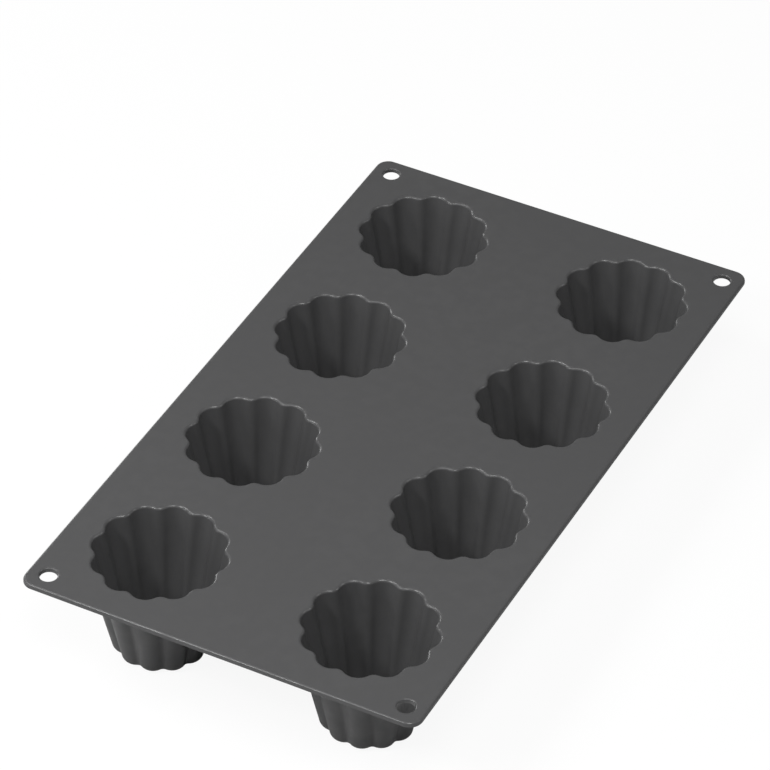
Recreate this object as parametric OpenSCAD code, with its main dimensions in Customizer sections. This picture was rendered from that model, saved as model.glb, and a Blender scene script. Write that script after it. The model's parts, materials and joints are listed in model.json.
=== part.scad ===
// Silicone baking mould: a thin sheet with fluted cups hanging from it in rows.
// Millimetres. +Z is up, +X across the sheet, +Y along it to the back. The cups stand on z = 0.

/* [Sheet] */
// Length of the sheet, from its front edge to its back edge
sheet_l = 300; // [270:5:380]
// Width of the sheet, from its left edge to its right edge
sheet_w = 170; // [150:5:240]
// Thickness of the sheet
sheet_t = 2; // [1.2:0.1:4]
// Rounding of the sheet's four corners, seen from above
corner_r = 5.5; // [2:0.5:12]

/* [Corner holes] */
// Diameter of the round hole in each corner
hole_d = 7; // [3:0.5:9]
// Distance from a hole's centre to the two edges beside it
hole_inset = 8.5; // [7:0.5:11]

/* [Cups] */
// Distance from the centres of the outer cups to the edges of the sheet
cup_margin = 39.5; // [34:0.5:44]
// Depth of the hollow, from the top of the sheet to the floor of a cup
cup_depth = 44.5; // [25:0.5:60]
// Radius of the hollow at its mouth, out to the crown of a flute
mouth_r = 26.5; // [22:0.5:28]
// Radius of the hollow at its floor, out to the crown of a flute
floor_r = 17.6; // [12:0.2:22]
// Thickness of the side wall
wall_t = 2.2; // [1.4:0.1:3]
// Thickness of the base
base_t = 2; // [1.2:0.1:4]

/* [Flutes] */
// Number of flutes round a cup
flutes = 12; // [10:1:16]
// Rounding of a flute's crown, at the mouth
crown_r = 6.8; // [6.2:0.1:9]
// Rounding of the ridge between two flutes, at the mouth
ridge_r = 1.5; // [0.6:0.1:2.5]

/* [Rounded edges] */
// Rounding of the mouth's rim, where the sheet turns down into a cup
rim_r = 1; // [0.4:0.1:1.2]
// Rounding between the wall and the floor, inside a cup
inner_edge_r = 2.4; // [0.6:0.1:3]
// Rounding of the edge round the base, outside a cup
outer_edge_r = 4.2; // [1:0.1:5]

/* [Hidden] */
rows = 4;
columns = 2;
sides = ["left", "right"];
function cup_name(column, row) = str("cup_", sides[column], "_", row + 1);

silicone = "#4b4b4d";

// Straight pieces that stand for the curves: round a crown's half, and down each rounded edge
crown_steps = 3;
rim_steps = 2;
inner_edge_steps = 2;
outer_edge_steps = 3;
arc_sides = 64;

// Heights
top_z = base_t + cup_depth;
under_z = top_z - sheet_t;

// The cups' places: the same margin on all four sides, and even pitches between
pitch_x = (sheet_w - 2 * cup_margin) / (columns - 1);
pitch_y = (sheet_l - 2 * cup_margin) / (rows - 1);
function cup_x(column) = (column - (columns - 1) / 2) * pitch_x;
function cup_y(row) = (row - (rows - 1) / 2) * pitch_y;

// The wall leans in by the draft, and its thickness is measured square to it
draft = atan((mouth_r - floor_r) / cup_depth);
wall_out = wall_t / cos(draft);
function wall_line(z) = floor_r + (z - base_t) * tan(draft);
// A rounded edge between the wall and a level face: how far its centre lies from the wall's line
function edge_in(r) = r / cos(draft) - r * tan(draft);

// Outline of the hollow: crown arcs that small ridge arcs join, as a share of the crown's radius.
// A crown arc is centred at crown_at from the axis, and a ridge arc at ridge_at, half a flute away.
half_flute = 180 / flutes;
crown_at = mouth_r - crown_r;
ridge_at = crown_at * cos(half_flute) + sqrt(pow(crown_r + ridge_r, 2) - pow(crown_at * sin(half_flute), 2));
join_turn = atan2(ridge_at * sin(half_flute), ridge_at * cos(half_flute) - crown_at);
join_angle = atan2(crown_r * sin(join_turn), crown_at + crown_r * cos(join_turn));
function crown_dist(a) = crown_at * cos(a) + sqrt(pow(crown_r, 2) - pow(crown_at * sin(a), 2));
function flute_share(a) = (abs(a) < half_flute ? crown_dist(a) : ridge_at - ridge_r) / mouth_r;

// Angles of the points of one flute, from the ridge on one side to just before the next ridge
flute_angles = concat(
    [-half_flute],
    [for (k = [-crown_steps:crown_steps]) join_angle * k / crown_steps]
);
ring_points = flutes * len(flute_angles);

// One level outline: crown_line is the crown's radius there, and out is added all round
function outline(crown_line, out) = [
    for (f = [0:flutes - 1])
        for (a = flute_angles)
            let (turn = (2 * f + 1) * half_flute + a, r = crown_line * flute_share(a) + out)
                [r * cos(turn), r * sin(turn)]
];

// Stations down a cup's section, each [crown_line, out, z]
function station(x, z) = [wall_line(z), x - wall_line(z), z];
function foot_edge(r, foot_z, out, steps) = [
    for (k = [0:steps])
        let (t = draft + (90 - draft) * k / steps)
            station(wall_line(foot_z) + out - edge_in(r) + r * cos(t), foot_z + r - r * sin(t))
];
function rim_edge(r, steps) = [
    for (k = [0:steps])
        let (t = (90 - draft) * k / steps)
            station(wall_line(top_z) + edge_in(r) - r * sin(t), top_z - r + r * cos(t))
];
function reversed(list) = [for (k = [len(list) - 1:-1:0]) list[k]];

// The collar is the part of a cup that fills its mouth in the sheet
collar_line = wall_line(under_z);
cup_section = concat(
    reversed(foot_edge(outer_edge_r, 0, wall_out, outer_edge_steps)),
    [[collar_line, wall_out, under_z], [collar_line, wall_out, top_z]],
    rim_edge(rim_r, rim_steps),
    foot_edge(inner_edge_r, base_t, 0, inner_edge_steps)
);

// A closed shell through the stations, from the middle of the base, over the rim, to the floor
module fluted_shell(section) {
    n = ring_points;
    last = (len(section) - 1) * n;
    points = [for (s = section) for (p = outline(s[0], s[1])) [p[0], p[1], s[2]]];
    base_face = [[for (i = [0:n - 1]) i]];
    floor_face = [[for (i = [n - 1:-1:0]) last + i]];
    bands = [
        for (k = [0:len(section) - 2])
            for (i = [0:n - 1])
                let (a = k * n + i, b = k * n + (i + 1) % n)
                    each [[a, a + n, b + n], [a, b + n, b]]
    ];
    polyhedron(points = points, faces = concat(base_face, bands, floor_face));
}

module sheet_outline() {
    square([sheet_w, sheet_l - 2 * corner_r], center = true);
    square([sheet_w - 2 * corner_r, sheet_l], center = true);
    at_corners(corner_r) circle(r = corner_r, $fn = arc_sides);
}

module at_corners(inset) {
    for (x = [-1, 1])
        for (y = [-1, 1])
            translate([x * (sheet_w / 2 - inset), y * (sheet_l / 2 - inset)]) children();
}

module at_cup(column, row) {
    translate([cup_x(column), cup_y(row), 0]) children();
}

module top_sheet() {
    color(silicone)
        translate([0, 0, under_z])
            linear_extrude(height = sheet_t)
                difference() {
                    sheet_outline();
                    for (c = [0:columns - 1])
                        for (r = [0:rows - 1])
                            at_cup(c, r) polygon(outline(collar_line, wall_out));
                    at_corners(hole_inset) circle(d = hole_d, $fn = arc_sides);
                }
}

module cup(column, row) {
    color(silicone)
        at_cup(column, row) fluted_shell(cup_section);
}

top_sheet();
for (c = [0:columns - 1])
    for (r = [0:rows - 1])
        cup(c, r);
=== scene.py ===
import json
import math

import bmesh
import bpy
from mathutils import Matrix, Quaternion, Vector

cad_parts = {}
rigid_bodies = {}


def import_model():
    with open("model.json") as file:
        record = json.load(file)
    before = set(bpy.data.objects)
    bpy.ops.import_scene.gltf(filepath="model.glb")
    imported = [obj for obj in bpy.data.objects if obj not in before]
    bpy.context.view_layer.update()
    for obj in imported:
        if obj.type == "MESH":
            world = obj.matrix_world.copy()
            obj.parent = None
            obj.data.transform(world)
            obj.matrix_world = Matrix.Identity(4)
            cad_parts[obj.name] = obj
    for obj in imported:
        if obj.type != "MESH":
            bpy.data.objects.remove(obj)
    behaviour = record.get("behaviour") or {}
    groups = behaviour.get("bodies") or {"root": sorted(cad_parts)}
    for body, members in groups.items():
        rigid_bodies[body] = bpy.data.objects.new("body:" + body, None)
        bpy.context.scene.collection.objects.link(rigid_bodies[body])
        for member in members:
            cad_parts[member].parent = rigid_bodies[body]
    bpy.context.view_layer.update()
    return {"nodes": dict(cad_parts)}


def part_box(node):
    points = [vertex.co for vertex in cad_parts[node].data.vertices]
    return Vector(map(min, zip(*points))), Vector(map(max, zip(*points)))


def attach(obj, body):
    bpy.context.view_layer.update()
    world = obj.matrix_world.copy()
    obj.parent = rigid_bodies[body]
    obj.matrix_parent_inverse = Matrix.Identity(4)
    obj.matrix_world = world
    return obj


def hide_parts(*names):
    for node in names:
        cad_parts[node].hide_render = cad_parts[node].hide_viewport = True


# A silicone baking mould: a thin sheet with eight fluted cups hanging from it in two columns
# Metres. +Z is up, +X across the sheet, +Y along it to the back, and the cups stand on z = 0

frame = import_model()
print("frame loaded:", len(frame["nodes"]), "nodes")

mm = 0.001
close = 0.01 * mm  # how near a point must be to count as on a level or a loop
wallSlope = 0.5  # a face is a wall where its normal points up or down by less than this
smoothUpTo = math.radians(35)  # edges that bend more than this stay sharp
arcProfile = 0.5  # the bevel profile that is a true arc
turnLeft = (0, 0, -1)  # a spin round this axis turns anticlockwise, seen from above

sheetLow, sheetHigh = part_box("top_sheet")
topZ = sheetHigh.z
underZ = sheetLow.z
cupNodes = sorted(name for name in frame["nodes"] if name.startswith("cup_"))


def middleOf(node):
    low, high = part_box(node)
    return Vector(((low.x + high.x) / 2, (low.y + high.y) / 2, 0))


cupAxes = {node: middleOf(node) for node in cupNodes}

# Selecting and finishing


def tidySelection():
    # back to object mode, with nothing selected
    if bpy.context.mode != "OBJECT":
        bpy.ops.object.mode_set(mode="OBJECT")
    bpy.ops.object.select_all(action="DESELECT")


def pickPiece(piece):
    tidySelection()
    piece.select_set(True)
    bpy.context.view_layer.objects.active = piece


def pickEdges(isWanted):
    # selects the edges that a test accepts
    bpy.ops.mesh.select_mode(type="EDGE")
    bpy.ops.mesh.select_all(action="DESELECT")
    shape = bmesh.from_edit_mesh(bpy.context.object.data)
    for edge in shape.edges:
        edge.select_set(isWanted(edge))
    bmesh.update_edit_mesh(bpy.context.object.data)


def pickFold(axis, height, inHollow):
    # selects the loop at a height where a level face meets the hollow's wall, or else the outer wall
    def isOnFold(edge):
        if any(abs(vert.co.z - height) > close for vert in edge.verts):
            return False
        walls = [face for face in edge.link_faces if abs(face.normal.z) < wallSlope]
        if len(walls) != 1 or len(edge.link_faces) != 2:
            return False
        towardAxis = axis - walls[0].calc_center_median()
        towardAxis.z = 0
        return (walls[0].normal.dot(towardAxis) > 0) == inHollow

    pickEdges(isOnFold)


def pickOpenEdges(axis, inner):
    # selects the open edges of a level ring on its inner side, or else on its outer side
    def isOpen(edge):
        if len(edge.link_faces) != 1:
            return False
        edgeMiddle = (edge.verts[0].co + edge.verts[1].co) / 2
        intoRing = edge.link_faces[0].calc_center_median() - edgeMiddle
        return (intoRing.dot(edgeMiddle - Vector((axis.x, axis.y, edgeMiddle.z))) > 0) == inner

    pickEdges(isOpen)


def roundPicked(setback, steps):
    # rounds the selected edges, from so far away on each face
    bpy.ops.mesh.bevel(offset=setback, segments=steps, profile=arcProfile, clamp_overlap=False)


def polar(centre, distance, angle):
    return centre + Vector((distance * math.cos(angle), distance * math.sin(angle), 0))


def finishPiece(piece):
    # smooth shading that leaves the flat faces flat
    pickPiece(piece)
    bpy.ops.object.shade_smooth_by_angle(angle=smoothUpTo)
    piece.modifiers.new("evenShading", "WEIGHTED_NORMAL").keep_sharp = True
    bpy.ops.object.modifier_apply(modifier="evenShading")


# The fluted cup

fluted = {
    "flutes": 12,
    "mouthReach": 27.0 * mm,  # hollow at the top of the sheet, from the axis to a crown
    "floorReach": 17.6 * mm,  # hollow at its floor, from the axis to a crown
    "crownRound": 6.3 * mm,  # a flute's crown inside, at the mouth
    "ridgeRound": 4.0 * mm,  # the ridge between two flutes inside, at the mouth
    "outerCrownRound": 8.2 * mm,  # a flute's crown outside, at the sheet
    "outerRidgeRound": 2.4 * mm,  # the same ridge outside, where it is a groove
    "wall": 2.2 * mm,
    "base": 2.0 * mm,
    "rimRound": 1.3 * mm,  # where the sheet turns down into the cup
    "floorRound": 2.4 * mm,  # inside, between wall and floor
    "footRound": 4.2 * mm,  # outside, round the base
    "rootRound": 1.2 * mm,  # outside, where the wall meets the sheet's underside
    "crownSteps": 12,
    "ridgeSteps": 6,
    "rimSteps": 7,
    "floorSteps": 7,
    "footSteps": 10,
    "rootSteps": 6,
}

cupDepth = topZ - fluted["base"]
draft = math.atan((fluted["mouthReach"] - fluted["floorReach"]) / cupDepth)  # how far the walls lean
wallOut = fluted["wall"] / math.cos(draft)  # the wall's thickness, measured level
# how far a rounding between a wall and a level face reaches along each, over its radius
foldShare = (1 - math.sin(draft)) / math.cos(draft)


def innerReach(height):
    return fluted["floorReach"] + (height - fluted["base"]) * math.tan(draft)


def outerReach(height):
    return innerReach(height) + wallOut


def addFlutedLoop(axis, height, reach, crown, ridge):
    # one flute is spun round its crown and back round the ridge beside it, and the rest are its copies
    half = math.pi / fluted["flutes"]
    crownAt = reach - crown
    across = crownAt * math.sin(half)
    ridgeAt = crownAt * math.cos(half) + math.sqrt((crown + ridge) ** 2 - across ** 2)
    joinTurn = math.atan2(ridgeAt * math.sin(half), ridgeAt * math.cos(half) - crownAt)
    middle = Vector((axis.x, axis.y, height))
    crownMiddle = polar(middle, crownAt, half)
    ridgeMiddle = polar(middle, ridgeAt, 2 * half)
    start = polar(crownMiddle, crown, half - joinTurn)
    crownTurn = 2 * joinTurn
    ridgeTurn = 2 * (half - joinTurn)
    copies = fluted["flutes"] - 1
    bpy.ops.mesh.select_mode(type="VERT")
    bpy.ops.mesh.select_all(action="DESELECT")
    bpy.ops.mesh.primitive_plane_add(size=ridge, location=start)
    bpy.ops.mesh.merge(type="CENTER")  # to the one point that is spun
    bpy.ops.mesh.spin(steps=fluted["crownSteps"], angle=crownTurn, center=crownMiddle, axis=turnLeft)
    bpy.ops.mesh.spin(steps=fluted["ridgeSteps"], angle=ridgeTurn, center=ridgeMiddle, axis=turnLeft)
    bpy.ops.mesh.select_linked()
    bpy.ops.mesh.spin(steps=copies, dupli=True, angle=2 * half * copies, center=middle, axis=turnLeft)
    bpy.ops.mesh.select_all(action="SELECT")
    bpy.ops.mesh.remove_doubles(threshold=close)


def addCollarLoop(axis):
    # the edge that the sheet and a cup share
    addFlutedLoop(axis, topZ, outerReach(underZ), fluted["outerCrownRound"], fluted["outerRidgeRound"])


def extrudeTo(axis, was, now):
    # draws the selected loop on from one reach and height to the next
    bpy.ops.mesh.extrude_region()
    bpy.ops.transform.translate(value=(0, 0, now[1] - was[1]))
    share = now[0] / was[0]
    bpy.ops.transform.resize(value=(share, share, 1), center_override=(axis.x, axis.y, now[1]))


def roundFold(axis, height, inHollow, radius, steps):
    pickFold(axis, height, inHollow)
    roundPicked(radius * foldShare, steps)


def outerStations():
    # reaches and heights down the outside: the collar, the root under the sheet and the wall
    root = fluted["rootRound"]
    rootReach = outerReach(underZ - root) + root / math.cos(draft)
    stations = [(outerReach(underZ), topZ), (outerReach(underZ), underZ)]
    for step in range(fluted["rootSteps"] + 1):
        turn = math.pi / 2 + (math.pi / 2 - draft) * step / fluted["rootSteps"]
        stations.append((rootReach + root * math.cos(turn), underZ - root + root * math.sin(turn)))
    stations.append((outerReach(0), 0))
    return stations


def makeCup(node):
    # an empty mesh to start from
    axis = cupAxes[node]
    tidySelection()
    bpy.ops.mesh.primitive_plane_add(size=fluted["wall"], location=axis)
    cup = bpy.context.object
    cup.name = "silicone_" + node
    bpy.ops.object.transform_apply(location=True)
    bpy.ops.object.mode_set(mode="EDIT")
    bpy.ops.mesh.delete(type="VERT")

    # the level ring round the mouth, out to the edge that the cup shares with the sheet
    addFlutedLoop(axis, topZ, fluted["mouthReach"], fluted["crownRound"], fluted["ridgeRound"])
    addCollarLoop(axis)
    bpy.ops.mesh.bridge_edge_loops()

    # the hollow, from its mouth down to its floor
    pickOpenEdges(axis, inner=True)
    extrudeTo(axis, (fluted["mouthReach"], topZ), (fluted["floorReach"], fluted["base"]))
    bpy.ops.mesh.edge_face_add()

    # the outside, from the same ring down to the base
    pickOpenEdges(axis, inner=False)
    stations = outerStations()
    for was, now in zip(stations, stations[1:]):
        extrudeTo(axis, was, now)
    bpy.ops.mesh.edge_face_add()

    # the rounded edges: round the base, round the floor and round the mouth
    bpy.ops.mesh.select_all(action="SELECT")
    bpy.ops.mesh.normals_make_consistent(inside=False)
    roundFold(axis, 0, False, fluted["footRound"], fluted["footSteps"])
    roundFold(axis, fluted["base"], True, fluted["floorRound"], fluted["floorSteps"])
    roundFold(axis, topZ, True, fluted["rimRound"], fluted["rimSteps"])
    bpy.ops.object.mode_set(mode="OBJECT")
    return cup


def copyCup(cup, node):
    # the same cup at another node's place, with a mesh of its own
    pickPiece(cup)
    bpy.ops.object.duplicate(linked=False)
    copy = bpy.context.object
    copy.name = "silicone_" + node
    bpy.ops.transform.translate(value=cupAxes[node] - cupAxes[cupNodes[0]])
    bpy.ops.object.transform_apply(location=True)
    return copy


firstCup = makeCup(cupNodes[0])
finishPiece(firstCup)
cups = {cupNodes[0]: firstCup}
for node in cupNodes[1:]:
    cups[node] = copyCup(firstCup, node)
print("cups modelled:", len(cups), "with", len(firstCup.data.polygons), "faces each")

# The sheet

sheet = {
    "cornerRound": 5.5 * mm,  # its four corners, seen from above
    "cornerSteps": 12,
    "edgeRound": 1.1 * mm,  # its upper edge, all round
    "holeEdgeRound": 0.8 * mm,  # the upper edge of a hole
    "lowerEdgeRound": 0.2 * mm,  # the lower edges, which are nearly sharp
    "edgeSteps": 6,
    "band": 2.0 * mm,  # a band of regular faces beside each rounded edge
    "holeRadius": 3.5 * mm,
    "holeInset": 8.5 * mm,  # from a hole's middle to the two edges beside it
    "holeSides": 48,
}

holeX = sheetHigh.x - sheet["holeInset"]
holeY = sheetHigh.y - sheet["holeInset"]


def isAtOutline(vert):
    # true for a point on the sheet's outline, a rectangle with rounded corners
    overX = max(abs(vert.co.x) - sheetHigh.x + sheet["cornerRound"], 0)
    overY = max(abs(vert.co.y) - sheetHigh.y + sheet["cornerRound"], 0)
    return math.hypot(overX, overY) > sheet["cornerRound"] - close


def isAtHole(vert):
    return math.hypot(abs(vert.co.x) - holeX, abs(vert.co.y) - holeY) < sheet["holeRadius"] + close


def boundsLevelFace(edge):
    # true for an open edge of a mouth or of a band, and not for the outline or a hole
    start = edge.verts[0]
    return len(edge.link_faces) < 2 and not isAtOutline(start) and not isAtHole(start)


def roundEdge(isAt, height, radius):
    # rounds the edge that the sheet has at one level, along its outline or round its holes
    pickEdges(lambda edge: all(isAt(vert) and abs(vert.co.z - height) < close for vert in edge.verts))
    roundPicked(radius, sheet["edgeSteps"])


def makeSheet():
    # the outline, with a band along it
    tidySelection()
    bpy.ops.mesh.primitive_plane_add(size=1, location=(0, 0, topZ))
    plate = bpy.context.object
    plate.name = "silicone_top_sheet"
    plate.scale = (sheetHigh.x - sheetLow.x, sheetHigh.y - sheetLow.y, 1)
    bpy.ops.object.transform_apply(location=True, scale=True)
    bpy.ops.object.mode_set(mode="EDIT")
    bpy.ops.mesh.select_mode(type="VERT")
    bpy.ops.mesh.select_all(action="SELECT")
    bpy.ops.mesh.bevel(
        affect="VERTICES",
        offset=sheet["cornerRound"],
        segments=sheet["cornerSteps"],
        profile=arcProfile,
    )
    bpy.ops.mesh.select_mode(type="FACE")
    bpy.ops.mesh.select_all(action="SELECT")
    bpy.ops.mesh.inset(thickness=sheet["band"])
    bpy.ops.mesh.delete(type="ONLY_FACE")

    # the four holes, each with a band round it
    for x in (-holeX, holeX):
        for y in (-holeY, holeY):
            bpy.ops.mesh.select_all(action="DESELECT")
            bpy.ops.mesh.primitive_circle_add(
                vertices=sheet["holeSides"],
                radius=sheet["holeRadius"] + sheet["band"],
                fill_type="NGON",
                location=(x, y, topZ),
            )
            bpy.ops.mesh.inset(thickness=sheet["band"])
            bpy.ops.mesh.delete(type="ONLY_FACE")

    # the outlines of the eight mouths, and the level face between them all
    for node in cupNodes:
        addCollarLoop(cupAxes[node])
    pickEdges(boundsLevelFace)
    bpy.ops.mesh.fill(use_beauty=True)

    # its thickness and its rounded edges
    bpy.ops.mesh.select_all(action="SELECT")
    bpy.ops.mesh.extrude_region_move(TRANSFORM_OT_translate={"value": (0, 0, underZ - topZ)})
    bpy.ops.mesh.select_all(action="SELECT")
    bpy.ops.mesh.normals_make_consistent(inside=False)
    roundEdge(isAtOutline, topZ, sheet["edgeRound"])
    roundEdge(isAtHole, topZ, sheet["holeEdgeRound"])
    roundEdge(isAtOutline, underZ, sheet["lowerEdgeRound"])
    roundEdge(isAtHole, underZ, sheet["lowerEdgeRound"])
    bpy.ops.object.mode_set(mode="OBJECT")
    return plate


topSheet = makeSheet()
finishPiece(topSheet)
print("sheet modelled:", len(topSheet.data.polygons), "faces")

# The silicone

silicone = {
    "colour": (0.062, 0.062, 0.063, 1),
    "dustyColour": (0.068, 0.068, 0.069, 1),  # where it is a little chalky
    "wornAndHighlightColour": (0.068, 0.068, 0.069, 1),  # on the rounded rims, paler for rubbed wear and for a faint painted highlight
    "roughness": 0.52,
    "smoothest": 0.44,
    "wornRoughness": 0.26,  # the rims are rubbed smooth
    "refraction": 1.41,
    "shine": 0.5,  # as strong as that refraction makes it
    "grainSize": 0.3 * mm,  # the fine matt grain of the tool that it was pressed in
    "grainHeight": 0.008 * mm,
    "pebbleSize": 1.3 * mm,  # a softer unevenness in that grain
    "pebbleHeight": 0.012 * mm,
    "waveSize": 22.0 * mm,  # slow waves in the rubber
    "waveHeight": 0.06 * mm,
    "mottleSize": 6.0 * mm,
    "patchSize": 55.0 * mm,
    # ramps over a pattern: where they start and end, and the shares there
    "chalkInMottle": (0.35, 0.7, 0, 1),
    "chalkInPatches": (0.3, 0.7, 0.4, 1),
    "chalkInGrain": (0.55, 0.8, 0, 0.6),
    "wearAndHighlightInMottle": (0.3, 0.6, 0.35, 1),
    "smoothInMottle": (0.3, 0.7),  # from the roughness to the smoothest
    # ramps that find the rounded rims, over the height and over how far the surface faces up
    "nearTop": (topZ - 1.5 * mm, topZ - 0.45 * mm, 0, 1),
    "notWall": (0.2, 0.6, 0, 1),
    "notLevel": (0.9, 0.999, 1, 0),
}


def feed(tree, value, socket):
    # links another node's output to a socket, or sets a plain value on it
    if isinstance(value, bpy.types.NodeSocket):
        tree.links.new(value, socket)
    else:
        socket.default_value = value


def addNoise(tree, place, size, detail=2):
    noise = tree.nodes.new("ShaderNodeTexNoise")
    feed(tree, place, noise.inputs["Vector"])
    feed(tree, 1 / size, noise.inputs["Scale"])
    feed(tree, detail, noise.inputs["Detail"])
    return noise.outputs["Fac"]


def addRamp(tree, value, low, high, start, end):
    # a value from low to high becomes one from start to end, with soft ends
    ramp = tree.nodes.new("ShaderNodeMapRange")
    ramp.interpolation_type = "SMOOTHSTEP"
    feed(tree, value, ramp.inputs["Value"])
    feed(tree, low, ramp.inputs["From Min"])
    feed(tree, high, ramp.inputs["From Max"])
    feed(tree, start, ramp.inputs["To Min"])
    feed(tree, end, ramp.inputs["To Max"])
    return ramp.outputs["Result"]


def addMath(tree, operation, first, second):
    result = tree.nodes.new("ShaderNodeMath")
    result.operation = operation
    feed(tree, first, result.inputs[0])
    feed(tree, second, result.inputs[1])
    return result.outputs["Value"]


def addProduct(tree, *factors):
    product = factors[0]
    for factor in factors[1:]:
        product = addMath(tree, "MULTIPLY", product, factor)
    return product


def addMix(tree, kind, share, under, over):
    # lays one colour or one number over another by a share
    mix = tree.nodes.new("ShaderNodeMix")
    mix.data_type = kind
    feed(tree, share, mix.inputs["Factor"])
    feed(tree, under, mix.inputs["A"])
    feed(tree, over, mix.inputs["B"])
    return mix.outputs["Result"]


def addBump(tree, pattern, height, under=None):
    bump = tree.nodes.new("ShaderNodeBump")
    feed(tree, pattern, bump.inputs["Height"])
    feed(tree, height, bump.inputs["Distance"])
    if under:
        feed(tree, under, bump.inputs["Normal"])
    return bump.outputs["Normal"]


def addChalk(tree, mottle, patches):
    return addProduct(
        tree,
        addRamp(tree, mottle, *silicone["chalkInMottle"]),
        addRamp(tree, patches, *silicone["chalkInPatches"]),
    )


def addRimWearAndHighlight(tree, coordinates, mottle):
    # up to 1 on the rounded rims at the top, between the level sheet and the walls, and broken up; it
    # marks rubbed wear and a faint painted highlight
    place = tree.nodes.new("ShaderNodeSeparateXYZ")
    facing = tree.nodes.new("ShaderNodeSeparateXYZ")
    feed(tree, coordinates.outputs["Object"], place.inputs["Vector"])
    feed(tree, coordinates.outputs["Normal"], facing.inputs["Vector"])
    return addProduct(
        tree,
        addRamp(tree, place.outputs["Z"], *silicone["nearTop"]),
        addRamp(tree, facing.outputs["Z"], *silicone["notWall"]),
        addRamp(tree, facing.outputs["Z"], *silicone["notLevel"]),
        addRamp(tree, mottle, *silicone["wearAndHighlightInMottle"]),
    )


def makeSilicone():
    material = bpy.data.materials.new("darkSilicone")
    material.use_nodes = True
    tree = material.node_tree
    shader = tree.nodes["Principled BSDF"]
    shader.inputs["IOR"].default_value = silicone["refraction"]
    shader.inputs["Specular IOR Level"].default_value = silicone["shine"]
    coordinates = tree.nodes.new("ShaderNodeTexCoord")
    place = coordinates.outputs["Object"]
    grain = addNoise(tree, place, silicone["grainSize"])
    pebbles = addNoise(tree, place, silicone["pebbleSize"])
    waves = addNoise(tree, place, silicone["waveSize"], detail=1)
    mottle = addNoise(tree, place, silicone["mottleSize"], detail=5)
    patches = addNoise(tree, place, silicone["patchSize"], detail=1)
    wearAndHighlight = addRimWearAndHighlight(tree, coordinates, mottle)

    # its colour, with chalky patches, chalk in the grain and the worn rims, whose paler tone is partly
    # a painted highlight
    chalk = addChalk(tree, mottle, patches)
    specks = addRamp(tree, grain, *silicone["chalkInGrain"])
    colour = addMix(tree, "RGBA", chalk, silicone["colour"], silicone["dustyColour"])
    colour = addMix(tree, "RGBA", specks, colour, silicone["dustyColour"])
    # the rims made paler: partly rubbed wear, partly a painted highlight along the rim
    colour = addMix(tree, "RGBA", wearAndHighlight, colour, silicone["wornAndHighlightColour"])
    feed(tree, colour, shader.inputs["Base Color"])

    # its finish, matt with smoother places and the worn rims
    finishes = (silicone["roughness"], silicone["smoothest"])
    finish = addRamp(tree, mottle, *silicone["smoothInMottle"], *finishes)
    finish = addMix(tree, "FLOAT", wearAndHighlight, finish, silicone["wornRoughness"])
    feed(tree, finish, shader.inputs["Roughness"])

    # its relief, from the slow waves up to the fine grain
    relief = addBump(tree, waves, silicone["waveHeight"])
    relief = addBump(tree, pebbles, silicone["pebbleHeight"], relief)
    relief = addBump(tree, grain, silicone["grainHeight"], relief)
    feed(tree, relief, shader.inputs["Normal"])
    return material


darkSilicone = makeSilicone()
for piece in [topSheet, *cups.values()]:
    piece.data.materials.clear()
    piece.data.materials.append(darkSilicone)
    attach(piece, "root")
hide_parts("top_sheet")
for node, cup in cups.items():
    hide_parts(node)
print("silicone on every piece")

# The studio

studio = {
    "floorSize": 6.0,
    "floorColour": 0.9,  # as it is seen
    "floorBounce": 0.35,  # how much of the light on it goes back up to the mould
    "floorGlow": 0.92,  # how much of its white is seen without shadow
    "skyStrength": 0.04,  # the faint light from all round
    "whiteStrength": 1.0,  # the white backdrop, as it is seen
    "mirroredWhite": 0.3,  # how much of that backdrop shows in a gloss
    "white": (1, 1, 1, 1),
    "lampDistance": 1.3,
}
# Each soft light: how many degrees it stands round from the front and up, its size and its power
softboxes = {
    "highSoftbox": {"azimuth": 30, "elevation": 59, "size": 0.45, "power": 9.0},
    "cornerSoftbox": {"azimuth": 331, "elevation": 45, "size": 0.2, "power": 6.8},
    "leftSoftbox": {"azimuth": 288, "elevation": 52, "size": 0.3, "power": 6.0},
    "lowSoftbox": {"azimuth": 314, "elevation": 12, "size": 0.4, "power": 2.2},
    "behindSoftbox": {"azimuth": 245, "elevation": 14, "size": 0.4, "power": 3.2},
    "rightSoftbox": {"azimuth": 105, "elevation": 38, "size": 0.45, "power": 2.8},
    "underSoftbox": {"azimuth": 207, "elevation": -52, "size": 0.4, "power": 6.0},
}
view = {
    "lens": 212.8,  # in millimetres, and so is the sensor
    "sensor": 36,
    "aim": Vector((-15.0 * mm, 17.5 * mm, topZ)),  # the point of the sheet in the picture's middle
    "distance": 1816.8 * mm,
    "azimuth": 27.21,  # in degrees, and so are the next two
    "elevation": 40.14,
    "roll": 0.43,
}


def seenDirectly(tree, path, glossShare):
    # 1 for what is seen, also through glass, a share for what a gloss mirrors, and 0 for bounced light
    share = addMath(tree, "MULTIPLY", path.outputs["Is Glossy Ray"], glossShare)
    for ray in ("Is Camera Ray", "Is Transmission Ray"):
        share = addMath(tree, "MAXIMUM", path.outputs[ray], share)
    return share


def addShaderMix(tree, share, under, over):
    mix = tree.nodes.new("ShaderNodeMixShader")
    feed(tree, share, mix.inputs["Fac"])
    feed(tree, under, mix.inputs[1])
    feed(tree, over, mix.inputs[2])
    return mix.outputs["Shader"]


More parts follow.
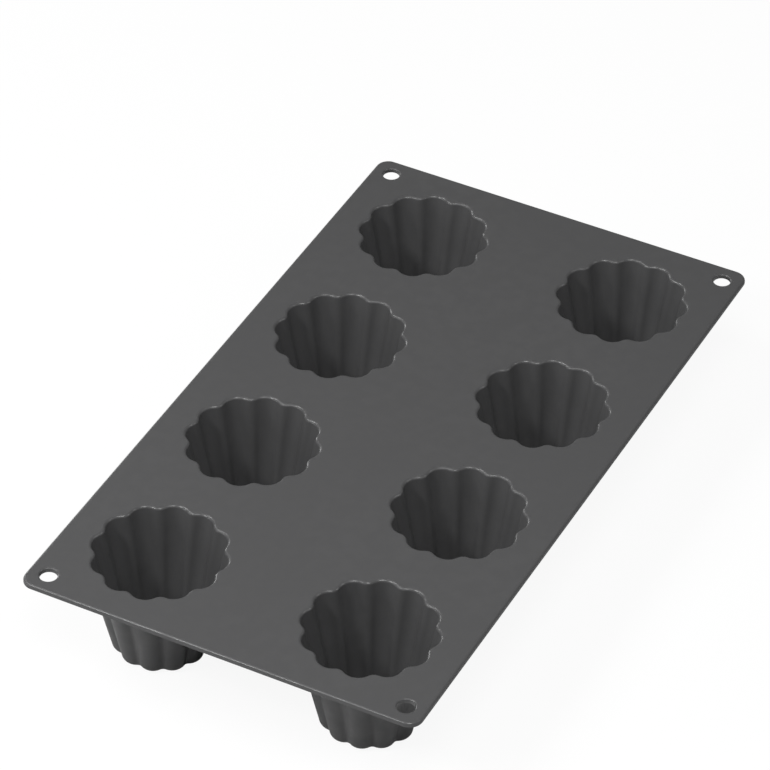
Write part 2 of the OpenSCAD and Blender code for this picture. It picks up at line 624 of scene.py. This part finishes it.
def makeWorld():
    world = bpy.data.worlds.new("paleStudio")
    world.use_nodes = True
    bpy.context.scene.world = world
    tree = world.node_tree
    path = tree.nodes.new("ShaderNodeLightPath")
    sky = tree.nodes["Background"]
    white = tree.nodes.new("ShaderNodeBackground")
    feed(tree, studio["white"], sky.inputs["Color"])
    feed(tree, studio["skyStrength"], sky.inputs["Strength"])
    feed(tree, studio["white"], white.inputs["Color"])
    feed(tree, studio["whiteStrength"], white.inputs["Strength"])
    seen = seenDirectly(tree, path, studio["mirroredWhite"])
    backdrop = addShaderMix(tree, seen, sky.outputs["Background"], white.outputs["Background"])
    feed(tree, backdrop, tree.nodes["World Output"].inputs["Surface"])


def makeFloorMaterial():
    material = bpy.data.materials.new("whiteFloor")
    material.use_nodes = True
    tree = material.node_tree
    tree.nodes.clear()
    path = tree.nodes.new("ShaderNodeLightPath")
    geometry = tree.nodes.new("ShaderNodeNewGeometry")
    matt = tree.nodes.new("ShaderNodeBsdfDiffuse")
    glow = tree.nodes.new("ShaderNodeEmission")
    clear = tree.nodes.new("ShaderNodeBsdfTransparent")
    output = tree.nodes.new("ShaderNodeOutputMaterial")

    # white where it is seen, with a faint shadow, and darker for the light that it bounces
    seen = seenDirectly(tree, path, glossShare=1)
    shade = addMix(tree, "FLOAT", seen, studio["floorBounce"], studio["floorColour"])
    feed(tree, shade, matt.inputs["Color"])
    glowShare = addMath(tree, "MULTIPLY", path.outputs["Is Camera Ray"], studio["floorGlow"])
    lit = addShaderMix(tree, glowShare, matt.outputs["BSDF"], glow.outputs["Emission"])

    # from below it isn't seen, and it lets the light from there through
    openBelow = addMath(tree, "MAXIMUM", geometry.outputs["Backfacing"], path.outputs["Is Shadow Ray"])
    oneSided = addShaderMix(tree, openBelow, lit, clear.outputs["BSDF"])
    feed(tree, oneSided, output.inputs["Surface"])
    return material


def makeFloor():
    tidySelection()
    bpy.ops.mesh.primitive_plane_add(size=studio["floorSize"], location=(0, 0, 0))
    floor = bpy.context.object
    floor.name = "floor"
    floor.data.materials.append(makeFloorMaterial())


def directionTo(azimuth, elevation):
    # the direction that lies so many degrees round from the front and up
    around = math.radians(azimuth)
    up = math.radians(elevation)
    return Vector((math.sin(around) * math.cos(up), -math.cos(around) * math.cos(up), math.sin(up)))


def makeSoftbox(name, azimuth, elevation, size, power):
    toward = directionTo(azimuth, elevation)
    middle = Vector((0, 0, topZ))
    bpy.ops.object.light_add(type="AREA", location=middle + toward * studio["lampDistance"])
    lamp = bpy.context.object
    lamp.name = name
    lamp.data.shape = "SQUARE"
    lamp.data.size = size
    lamp.data.energy = power
    lamp.rotation_euler = (-toward).to_track_quat("-Z", "Y").to_euler()


def makeCamera():
    toward = directionTo(view["azimuth"], view["elevation"])
    bpy.ops.object.camera_add(location=view["aim"] + toward * view["distance"])
    camera = bpy.context.object
    camera.data.lens = view["lens"]
    camera.data.sensor_width = view["sensor"]
    camera.rotation_mode = "QUATERNION"
    roll = Quaternion((0, 0, 1), math.radians(view["roll"]))
    camera.rotation_quaternion = (-toward).to_track_quat("-Z", "Y") @ roll
    bpy.context.scene.camera = camera


makeWorld()
makeFloor()
for name, softbox in softboxes.items():
    makeSoftbox(name, **softbox)
makeCamera()
bpy.context.scene.view_settings.view_transform = "Standard"
print("studio ready")
